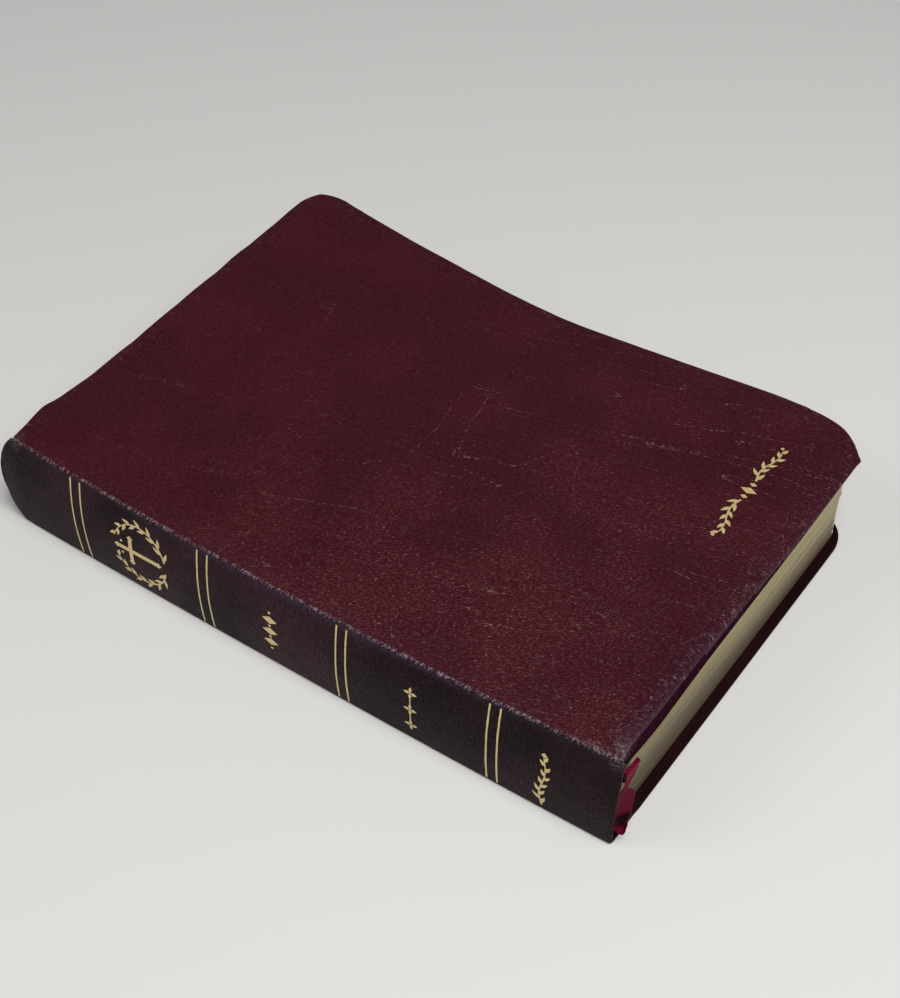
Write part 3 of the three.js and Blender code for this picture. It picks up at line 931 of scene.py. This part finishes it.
# Where painted shade darkens the leather near its tail, fore and head edges; the fan wrinkles follow it
# too.
def near_edges(points):
    x, y, _ = points.T
    tail = smooth((y + 111) / -6) * (0.45 + 0.55 * smooth((30 - x) / 90))
    fore = 0.25 * smooth((x - 79) / 5)
    head = 0.3 * smooth((y - 114) / 5)
    return np.maximum(np.maximum(tail, fore), head)


def near_hanging(points):
    """1 on the part of the tail edge that hangs down, beside the pages."""
    x, y, z = points.T
    drop = front_top(x, np.maximum(y, FLANGE_START_Y)) - z
    return smooth((drop - 1.2) / 2.6) * smooth((FLANGE_START_Y - y) / 0.6)


def wear_and_edge_glint_places(points):
    x, y, z = points.T
    high_up = smooth((z - 33) / 3)
    tail_corner = bell((x + 81.5) / 4.5) * bell((y + 118.5) / 2.4) * high_up
    along_ridge = 0.6 * near_ridge(points) * smooth((-y - 100) / 15)
    head_corner = 0.7 * bell((x + 84) / 2.5) * bell((y - 118.5) / 2.0) * high_up
    # A painted highlight where the rounded fore edge catches the light near the tail.
    fore_edge_glint = 0.4 * bell((x - 85.5) / 0.9) * bell((y + 95) / 25)
    return np.max([tail_corner, along_ridge, head_corner, fore_edge_glint], axis=0)


PLAIN_PAINT = {"ridge": near_ridge, "seam": near_seam, "wear_and_edge_glint": wear_and_edge_glint_places}
LEATHER_PAINT = {**PLAIN_PAINT, "edge": near_edges, "hanging": near_hanging}


# ---- the covers and the spine's leather ----

def moved_in(outer, depth, outward):
    """The grid moved in by depth along its normals. outward is roughly the way it faces."""
    normals = surface_normals(outer)
    side = np.sign((normals.mean((0, 1)) * np.array(outward)).sum())
    return outer - normals * side * np.asarray(depth)[..., None]


def set_fold_material(mesh):
    """Gives the part of the tail edge that hangs down its own darker, duller leather: a copy of the cover
    leather, darker as painted shade.
    """
    hanging = np.zeros(len(mesh.vertices))
    mesh.attributes["hanging"].data.foreach_get("value", hanging)
    mesh.materials.append(SHADED_FOLD_LEATHER)
    for face in mesh.polygons:
        if hanging[list(face.vertices)].min() > FOLD_FROM:
            face.material_index = 1


def make_cover(name, node, outer, depth, outward, material, paint):
    """A cover's leather, bent across its joint between half of the spine and the cover."""
    inner = moved_in(outer, depth, outward)
    piece = slab(name, outer, inner, round_rim(outer, inner, seam=True), [material], paint)
    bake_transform(piece)
    stand_for(node)
    return piece


def make_front_leather():
    outer, x, y = front_grid()
    piece = make_cover(
        "front_cover_leather", "cover_leather_front", outer, cover_thickness(x, y), (0, 0, 1),
        COVER_LEATHER, LEATHER_PAINT,
    )
    set_fold_material(piece.data)


def make_back_leather():
    straight = BACK_EDGE_Y - 3
    rows = joined(
        spacing(-BACK_EDGE_Y, -straight, 0.6),
        spacing(-straight, straight, BACK_STEP),
        spacing(straight, BACK_EDGE_Y, 0.6),
    )
    fore_x = FORE_X - 0.6
    x, y = cover_plan(rows, BACK_FOLD, 16, fore_x, COVER_CORNER, BACK_STEP)
    y = fitted(y, BACK_EDGE_Y, round_reach(x, BACK_EDGE_Y, fore_x, COVER_CORNER))
    z = back_under(x, y)
    for i, turn in enumerate(BACK_FOLD):
        z[i] = back_under(x[i], y[i]) + RIDGE_RADIUS + RIDGE_RADIUS * math.sin(turn)
    outer = np.stack([x, y, z], 2)
    make_cover(
        "back_cover_leather", "cover_leather_back", outer, cover_thickness(x, y), (0, 0, -1),
        UNDER_LEATHER, PLAIN_PAINT,
    )


BOARD_INSET = 3.0
ENDPAPER_INSET = TURN_IN + 1.2
LEAST_CORNER = 2.5


def make_layer(name, node, material, inset, depth, thickness):
    """A thin layer inside a cover, following its outer face at a depth."""
    front = name.startswith("front")
    step = 2.0 if front else 3.0
    fore_x = FORE_X - inset
    half = HALF_LENGTH - inset
    corner = max((FRONT_HEAD_CORNER if front else COVER_CORNER) - inset, LEAST_CORNER)
    xs = fore_columns(PANEL_X + inset, fore_x, SLANT_RUN if front else corner, step)
    x, y = np.meshgrid(xs, spacing(-half, half, step), indexing="ij")
    if front:
        y = fitted(y, half, front_reach(x, y, half, half, fore_x, corner))
        outer = np.stack([x, y, front_top(x, y)], 2)
        normals = surface_normals(outer)
        top = outer - normals * depth
        bottom = outer - normals * (depth + thickness)
    else:
        y = fitted(y, half, round_reach(x, half, fore_x, corner))
        bottom = np.stack([x, y, back_under(x, y) + depth], 2)
        top = bottom + np.array([0, 0, thickness])
    piece = slab(name, top, bottom, round_rim(top, bottom, 1), [material], sharp=40)
    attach(piece, "front_cover" if front else "back_cover")
    stand_for(node)


def blend_spine(piece):
    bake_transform(piece)


def head_cap(z):
    """How far the spine leather stands out past the head, as a rounded cap."""
    return HEAD_CAP * np.sin(math.pi * clamp01(z / SPINE_TOP)) ** 0.75


FOOT_TURNS = np.radians([225, 213, 202, 191])
RIDGE_TURNS = np.radians([169, 158, 147, 135])
SPINE_ROWS = 34


def make_spine_leather():
    lengthwise = joined(spacing(-1, -0.96, 0.006), spacing(-0.96, 0.93, 0.0092), spacing(0.93, 1, 0.005))
    heights = np.linspace(0, 1, SPINE_ROWS)
    level = np.concatenate([np.zeros(len(FOOT_TURNS)), heights, np.ones(len(RIDGE_TURNS))])[:, None]
    nu = len(level)
    q = np.tile(lengthwise, (nu, 1))
    rough_z = 1 + level * (SPINE_TOP - 2)
    tail_end = 119.3 + 0.9 * level
    head_end = 119.5 + head_cap(rough_z)
    y = np.where(q < 0, q * tail_end, q * head_end)
    low = RIDGE_RADIUS + 0.15
    high = ridge_z(y) - RIDGE_RADIUS
    z = low + (high - low) * level
    x = face_x(y, z)
    for row, turn in enumerate(FOOT_TURNS):
        x[row], z[row] = fold_at_foot(y[row], turn)
    for row, turn in enumerate(RIDGE_TURNS, nu - len(RIDGE_TURNS)):
        x[row], z[row] = fold_at_ridge(y[row], turn)
    past_head = clamp01((y - 117.5) / 10)
    past_tail = clamp01((-y - 117.0) / 3)
    arch = np.sin(math.pi * clamp01(level)) ** 0.7
    x = x + 1.3 * past_head ** 1.6 * arch + 0.7 * past_tail ** 2 * arch
    outer = np.stack([x, y, z], 2)
    turned_in = smooth((np.abs(q) - 0.975) / 0.015)
    depth = SPINE_LEATHER + (SPINE_TURNED_END - SPINE_LEATHER) * turned_in * arch
    inner = moved_in(outer, depth, (-1, 0, 0))
    iu, _ = border(*outer.shape[:2])
    open_side = clamp01(np.minimum(iu, nu - 1 - iu) / 4)
    swell = [row * open_side for row in round_rim(outer, inner, 4)]
    piece = slab("spine_leather", outer, inner, swell, [SHADED_SPINE_LEATHER], PLAIN_PAINT)
    blend_spine(piece)
    stand_for("cover_leather_spine")


make_front_leather()
make_back_leather()
make_spine_leather()
for side in ("front", "back"):
    make_layer(f"{side}_cover_board", f"{side}_board", BOARD, BOARD_INSET, 0.9, 0.5)
    make_layer(f"{side}_endpaper", f"{side}_pastedown", ENDPAPER, ENDPAPER_INSET, 1.95, 0.28)


# ---- pages ----

FORE_HOLLOW = 1.2
FOLD_DEPTH = 3.6
FOLD_ROUND = 0.45
BACK_ROUND = 1.3
SHOULDER_DIP = 2.0
SECTION_WALL_ROWS = 6
SECTION_SPARE = 0.06
LEAF_HALF = 0.13


def mid_height(z):
    """Height from the block's middle: 0 there, and 1 or -1 at the top or bottom."""
    return (z - MIDDLE_Z) / MIDDLE_Z


def fold_x(z):
    k = mid_height(z)
    return SPINE_X + FOLD_DEPTH + BACK_ROUND * k * k


def page_fore_x(z):
    k = mid_height(z)
    return PAGE_FORE_X - FORE_HOLLOW * (1 - k * k)


def settle(points):
    """The block sinks a little towards the spine, under the sagging ridge."""
    x, y, z = points[..., 0], points[..., 1], points[..., 2]
    share = clamp01((z - BLOCK_BOTTOM) / (BLOCK_TOP - BLOCK_BOTTOM))
    dip = SHOULDER_DIP * bell((x - SPINE_X) / 10) * (0.35 + 0.65 * along_length(y))
    moved = points.copy()
    moved[..., 2] = z - share ** 1.5 * dip
    return moved


def page_grid(z, start_x, step, shift=(0, 0)):
    fore_x = page_fore_x(z)
    gutter = spacing(start_x, start_x + 12, step / 2)
    xs = joined(gutter, fore_columns(start_x + 12, fore_x, PAGE_CORNER, step))
    ys = spacing(-PAGE_HALF_LENGTH, PAGE_HALF_LENGTH, step)
    x, y = np.meshgrid(xs, ys, indexing="ij")
    reach = round_reach(x, PAGE_HALF_LENGTH, fore_x, PAGE_CORNER)
    y = fitted(y, PAGE_HALF_LENGTH, reach)
    return np.stack([x + shift[0], y + shift[1], np.full_like(x, z)], 2)


def pages_slab(name, grid, low, high, swell):
    """Sheets between two heights, or height grids, settled with the block. Their edges are gilt."""
    top = grid.copy()
    bottom = grid.copy()
    top[..., 2] = high
    bottom[..., 2] = low
    if swell is None:
        swell = round_rim(top, bottom, 1)
    return slab(name, settle(top), settle(bottom), swell, [PAPER, GILT], sharp=35, even=True)


def section_swell(top, seed):
    """Leaf edges that stand out by different hairs' breadths, and a round fold at the spine."""
    random = np.random.default_rng(seed)
    iu, iv = border(*top.shape[:2])
    place = top[iu, iv]
    swell = []
    for row in range(SECTION_WALL_ROWS):
        share = (row + 1) / (SECTION_WALL_ROWS + 1)
        step = random.uniform(-0.045, 0.045)
        drift = noise2(place[:, 0] + place[:, 1], np.full(len(place), row * 9.0), 22, seed + 40)
        fold = FOLD_ROUND * math.sin(math.pi * share)
        swell.append(np.where(iu == 0, fold, step + 0.05 * drift))
    return swell


def make_section(number, body, low, high):
    shift = np.random.default_rng(100 + number).uniform(-0.10, 0.10, 2)
    middle = (low + high) / 2
    grid = page_grid(middle, fold_x(middle), 3.2, shift)
    piece = pages_slab(f"page_section_{number:02d}", grid, low, high, section_swell(grid, 200 + number))
    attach(piece, body)
    stand_for(f"section_{number:02d}")


def make_sections():
    bodies = frame["record"]["behaviour"]["bodies"]
    for body in ("front_half", "rear_half"):
        for node in bodies[body]:
            if node.startswith("section_"):
                low, high = box_mm(node)
                make_section(int(node[-2:]), body, low[2] - SECTION_SPARE, high[2] + SECTION_SPARE)


def make_leaf(name, node, seed, parent=None):
    """A single leaf on the body that has its node's name. With a parent, it is left fixed in place
    instead.
    """
    low, high = box_mm(node)
    middle = (low[2] + high[2]) / 2
    grid = page_grid(middle, low[0], 2.4)
    wave = 0.05 * noise2(grid[..., 0], grid[..., 1], 34, 300 + seed)
    piece = pages_slab(name, grid, middle - LEAF_HALF + wave, middle + LEAF_HALF + wave, None)
    if parent is None:
        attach(piece, node)
    else:
        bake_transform(piece)
    stand_for(node)


make_sections()
for leaf in range(1, 6):
    make_leaf(f"loose_leaf_{leaf}", f"leaf_{leaf}", leaf, "rear_half")
make_leaf("front_flyleaf_sheet", "front_flyleaf", 8)
make_leaf("back_flyleaf_sheet", "back_flyleaf", 9)


# ---- what the spine holds ----

LEAF_RIB = 1.3


def spine_layer(name, node, material, step, ripple):
    """A thin layer glued round the backs of the sections."""
    low, high = box_mm(node)
    k = mid_height(low[2])
    thickness = max(high[0] - low[0] - BACK_ROUND * k * k, 0.15)
    step_y = max(step * 2, 0.2) if high[1] - low[1] > 3 else 0.2
    z, y = np.meshgrid(spacing(low[2], high[2], step), spacing(low[1], high[1], step_y), indexing="ij")
    k = mid_height(z)
    x = low[0] + BACK_ROUND * k * k + ripple(y, z)
    outer = np.stack([x, y, z], 2)
    outer[..., 2] -= 2.2 * clamp01(k) ** 2 * along_length(y)
    inner = outer + np.array([thickness, 0, 0])
    piece = slab(name, outer, inner, round_rim(outer, inner, 1), [material], sharp=50)
    blend_spine(piece)
    stand_for(node)


def fold_ripple(y, z):
    """Backs of the sections showing through."""
    return 0.06 * np.sin(z * math.tau / LEAF_RIB)


def thread_ripple(y, z):
    """A stitch's round back, drawn in between the sections."""
    return 0.22 * ((y - y.mean()) / 0.4) ** 2 - 0.05 * np.sin(z * math.tau / LEAF_RIB)


def card_ripple(y, z):
    return 0.03 * noise2(y, z, 20, 31)


spine_layer("spine_card", "spine_liner", BOARD, 1.2, card_ripple)
spine_layer("spine_paper", "spine_lining_paper", KRAFT, 0.5, fold_ripple)
spine_layer("gauze", "mull", MULL, 0.5, fold_ripple)
for stitch in range(1, 7):
    spine_layer(f"stitches_{stitch}", f"sewing_thread_{stitch}", THREAD, 0.3, thread_ripple)


HEADBAND_RADIUS = 0.95
HEADBAND_SIDES = 16


def make_headband(name, node):
    """A round core wound with silk."""
    low, high = box_mm(node)
    cx = (low[0] + high[0]) / 2
    cy = np.sign(low[1]) * (PAGE_HALF_LENGTH + HEADBAND_RADIUS + 0.1)
    zs = spacing(low[2], high[2], 0.15)
    turns = np.linspace(0, math.tau, HEADBAND_SIDES + 1)[:-1]
    winding = 1 + 0.035 * np.sin(zs * math.tau / SILK_WINDING)
    ends = np.sqrt(clamp01(np.minimum(zs - low[2], high[2] - zs) / 0.8 + 0.05))
    r = (HEADBAND_RADIUS * winding * ends)[:, None]
    sag = 1.8 * clamp01((zs - MIDDLE_Z) / MIDDLE_Z) ** 2
    height = np.tile((zs - 0.35 * sag)[:, None], (1, HEADBAND_SIDES))
    points = np.stack([cx + r * np.cos(turns), cy + r * np.sin(turns), height], 2).reshape(-1, 3)
    rings = np.arange(len(points)).reshape(len(zs), HEADBAND_SIDES)
    upper = rings[:-1]
    lower = rings[1:]
    quads = np.stack([upper, np.roll(upper, -1, 1), np.roll(lower, -1, 1), lower], 2).reshape(-1, 4)
    faces = quads.tolist() + [rings[0][::-1].tolist(), rings[-1].tolist()]
    piece = make_piece(name, points, np.array(faces, dtype=object), [HEADBAND], sharp=60)
    blend_spine(piece)
    stand_for(node)


make_headband("head_headband", "headband_head")
make_headband("tail_headband", "headband_tail")


# ---- gold stamping ----

FOIL_LIFT = 0.07
FOIL_DEPTH = 0.10
STRIP_STEPS = 9


def spine_place(a, b):
    """A point on the spine: a runs across it, from the back cover up, and b towards the head."""
    return np.stack([face_x(b, a), b, a], -1), np.array([-1.0, 0, 0])


def cover_place(a, b):
    """A point on the front cover: a runs towards the fore edge and b towards the head."""
    return np.stack([a, b, front_top(a, b)], -1), np.array([0, 0, 1.0])


def path_ways(path):
    """The way along a path at each of its points, and the way across it."""
    ahead = unit(np.gradient(path, axis=0))
    return ahead, np.stack([-ahead[:, 1], ahead[:, 0]], 1)


class Stamp:
    """Thin strips of foil laid on a surface, joined in one piece."""

    def __init__(self, place):
        self.place = place
        self.points = []
        self.faces = []
        self.count = 0

    def strip(self, line, half_width):
        """A strip along a line of (a, b), with its half width at each point."""
        line = np.asarray(line, float)
        half_width = np.broadcast_to(np.asarray(half_width, float), len(line))
        _, side = path_ways(line)
        spread = np.array([-1.0, 0.0, 1.0])
        flat = line[:, None, :] + side[:, None, :] * (half_width[:, None] * spread)[..., None]
        ground, normal = self.place(flat[..., 0], flat[..., 1])
        top = ground + normal * FOIL_LIFT
        bottom = ground - normal * (FOIL_DEPTH - FOIL_LIFT)
        n = len(line)
        index = np.arange(n * 3).reshape(n, 3) + self.count
        upper = index[border(n, 3)]
        self.points += [top.reshape(-1, 3), bottom.reshape(-1, 3)]
        self.faces += [grid_quads(index), grid_quads(index + n * 3), wall_quads(upper, upper + n * 3)]
        self.count += 2 * n * 3

    def line(self, start, end, half_width, step=1.0):
        length = math.dist(start, end)
        t = np.linspace(0, 1, max(3, int(length / step)))[:, None]
        self.strip(np.array(start) * (1 - t) + np.array(end) * t, half_width)

    def lozenge(self, centre, half_long, half_wide, upright=True):
        t = np.linspace(-1, 1, STRIP_STEPS)
        along = np.array([0.0, 1.0]) if upright else np.array([1.0, 0.0])
        path = np.array(centre) + t[:, None] * along * half_long
        self.strip(path, half_wide * (1 - np.abs(t)) + 0.03)

    def dot(self, centre, radius):
        t = np.linspace(-1, 1, STRIP_STEPS)
        path = np.array(centre) + t[:, None] * np.array([radius, 0.0])
        self.strip(path, radius * np.sqrt(1 - t * t) + 0.02)

    def spray(self, path, leaves, leaf_length, leaf_width=0.62, stem=0.34):
        """A leafy branch: a tapering stem along a path, with a leaf to each side in turn."""
        path = np.asarray(path, float)
        self.strip(path, stem * np.linspace(1, 0.45, len(path)))
        ahead, side = path_ways(path)
        for number in range(leaves):
            share = (number + 0.6) / leaves
            at = int(share * (len(path) - 1))
            hand = 1 if number % 2 else -1
            way = ahead[at] * 0.72 + side[at] * hand * 0.69
            size = leaf_length * (1.05 - 0.35 * share)
            t = np.linspace(0, 1, STRIP_STEPS)
            middle = path[at] + t[:, None] * way * size + (t * t)[:, None] * ahead[at] * size * 0.25
            self.strip(middle, leaf_width * np.sin(math.pi * t ** 0.8) + 0.03)

    def done(self, name):
        return make_piece(name, np.concatenate(self.points), np.concatenate(self.faces), [GOLD], sharp=30)


RULE_HALF_WIDTH = 0.3
RULE_PAIRS = [(92.2, 87.9), (36.0, 31.8), (-20.3, -24.1), (-76.3, -80.1)]


def make_rules():
    for number, pair in enumerate(RULE_PAIRS, 1):
        stamp = Stamp(spine_place)
        for y in pair:
            a = spacing(1.6, ridge_z(y) - RIDGE_RADIUS - 0.1, 0.8)
            path = np.stack([a, y + 0.05 * noise2(a, np.full_like(a, y), 5, 51)], 1)
            width = RULE_HALF_WIDTH + 0.04 * noise2(a, np.full_like(a, y * 3), 1.7, 52)
            stamp.strip(path, width)
        blend_spine(stamp.done(f"gold_rules_{number}"))


def arc_path(centre, radius_a, radius_b, start, end, count=40):
    """Points along an ellipse's arc, angles in degrees."""
    angle = np.radians(np.linspace(start, end, count))
    return np.array(centre) + np.stack([np.cos(angle) * radius_a, np.sin(angle) * radius_b], 1)


SPINE_MIDDLE = 18.0
CROSS_ARM_Y = 66.0
LOZENGES_Y = 6.0
PETALS_Y = -48.8
BRANCH_Y = -96.0


def make_cross_panel():
    """A plain cross in a wreath."""
    panel = Stamp(spine_place)
    panel.line((SPINE_MIDDLE, 54.0), (SPINE_MIDDLE, 71.5), 0.8)
    panel.line((SPINE_MIDDLE - 4.9, CROSS_ARM_Y), (SPINE_MIDDLE + 4.9, CROSS_ARM_Y), 0.8)
    for across, b in ((0, 72.0), (-5.3, CROSS_ARM_Y), (5.3, CROSS_ARM_Y), (0, 53.6)):
        panel.lozenge((SPINE_MIDDLE + across, b), 1.3, 1.15)
    for side in (-1, 1):
        start = -90 + side * 12
        panel.spray(arc_path((SPINE_MIDDLE, 62.0), 12.2, 11.4, start, start + side * 150), 13, 3.4)
        panel.dot((SPINE_MIDDLE + side * 2.6, 70.0), 0.5)
    blend_spine(panel.done("gold_cross_panel"))


def make_spine_ornaments():
    """Small rows of plain shapes where the spine is lettered."""
    lozenges = Stamp(spine_place)
    for a in (11.5, 16.5, 21.5):
        lozenges.lozenge((a, LOZENGES_Y), 2.9, 1.5)
    for a in (8.4, 14.0, 19.0, 24.6):
        lozenges.dot((a, LOZENGES_Y), 0.5)
    blend_spine(lozenges.done("gold_lozenges"))

    petals = Stamp(spine_place)
    for a in (8.0, 15.5, 23.0):
        for b in (-47.6, -50.0):
            petals.lozenge((a, b), 1.2, 0.6)
        for across in (-1.3, 1.3):
            petals.lozenge((a + across, PETALS_Y), 1.2, 0.6, upright=False)
    for a in (11.75, 19.25):
        petals.line((a - 1.6, PETALS_Y), (a + 1.6, PETALS_Y), 0.2, 0.5)
    blend_spine(petals.done("gold_petals"))

    branch = Stamp(spine_place)
    t = np.linspace(0, 1, 40)
    branch.spray(np.stack([2.8 + 22.5 * t, BRANCH_Y + 0.9 * np.sin(t * math.tau)], 1), 11, 3.0, 0.6)
    branch.lozenge((26.6, BRANCH_Y), 1.0, 0.9)
    blend_spine(branch.done("gold_branch"))


COVER_ORNAMENT_MIDDLE = (35.0, -97.4)


def make_cover_ornament():
    """A leafy line on the front cover where a name is stamped."""
    stamp = Stamp(cover_place)
    middle, y = COVER_ORNAMENT_MIDDLE
    stamp.lozenge((middle, y), 2.9, 1.5)
    for side in (-1, 1):
        stamp.lozenge((middle + side * 3.4, y), 0.9, 1.3, upright=False)
        t = np.linspace(0, 1, 40)
        a = middle + side * (5.4 + 18.4 * t)
        b = y + 1.1 * np.sin(t * math.tau * 0.9)
        stamp.spray(np.stack([a, b], 1), 9, 3.3)
        stamp.dot((middle + side * 25.0, y), 0.6)
    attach(stamp.done("gold_cover_ornament"), "front_cover")


make_rules()
make_cross_panel()
make_spine_ornaments()
make_cover_ornament()


# ---- floor, light, output; places in metres ----

FLOOR_REACH = 3.0
WORLD_COLOR = (0.93, 0.96, 1.0, 1)
WORLD_STRENGTH = 0.14
LIGHT_SIZE = 0.9
KEY_PLACE = (-0.40, -0.72, 1.38)
KEY_POWER = 27.0
FILL_PLACE = (-1.1, 1.0, 1.4)
FILL_POWER = 6.0


def make_floor():
    g = Graph("pale_floor")
    g.finish((0.66, 0.65, 0.63), 0.8, Specular_IOR_Level=0.2)
    mesh = bpy.data.meshes.new("floor")
    corners = [(-1, -1), (1, -1), (1, 1), (-1, 1)]
    mesh.from_pydata([(x * FLOOR_REACH, y * FLOOR_REACH, 0) for x, y in corners], [], [(0, 1, 2, 3)])
    mesh.materials.append(g.material)
    placed("floor", mesh)


def area_light(name, place, aim, power):
    data = bpy.data.lights.new(name, "AREA")
    data.shape = "SQUARE"
    data.size = LIGHT_SIZE
    data.energy = power
    light = placed(name, data)
    light.location = place
    light.rotation_euler = (Vector(aim) - Vector(place)).to_track_quat("-Z", "Y").to_euler()


def make_light():
    world = bpy.data.worlds.new("studio")
    world.use_nodes = True
    background = world.node_tree.nodes["Background"]
    background.inputs[0].default_value = WORLD_COLOR
    background.inputs[1].default_value = WORLD_STRENGTH
    bpy.context.scene.world = world
    area_light("key", KEY_PLACE, (0, 0, 0), KEY_POWER)
    area_light("fill", FILL_PLACE, (0, 0.2, 0), FILL_POWER)


make_floor()
make_light()
bpy.context.scene.view_settings.view_transform = "Standard"
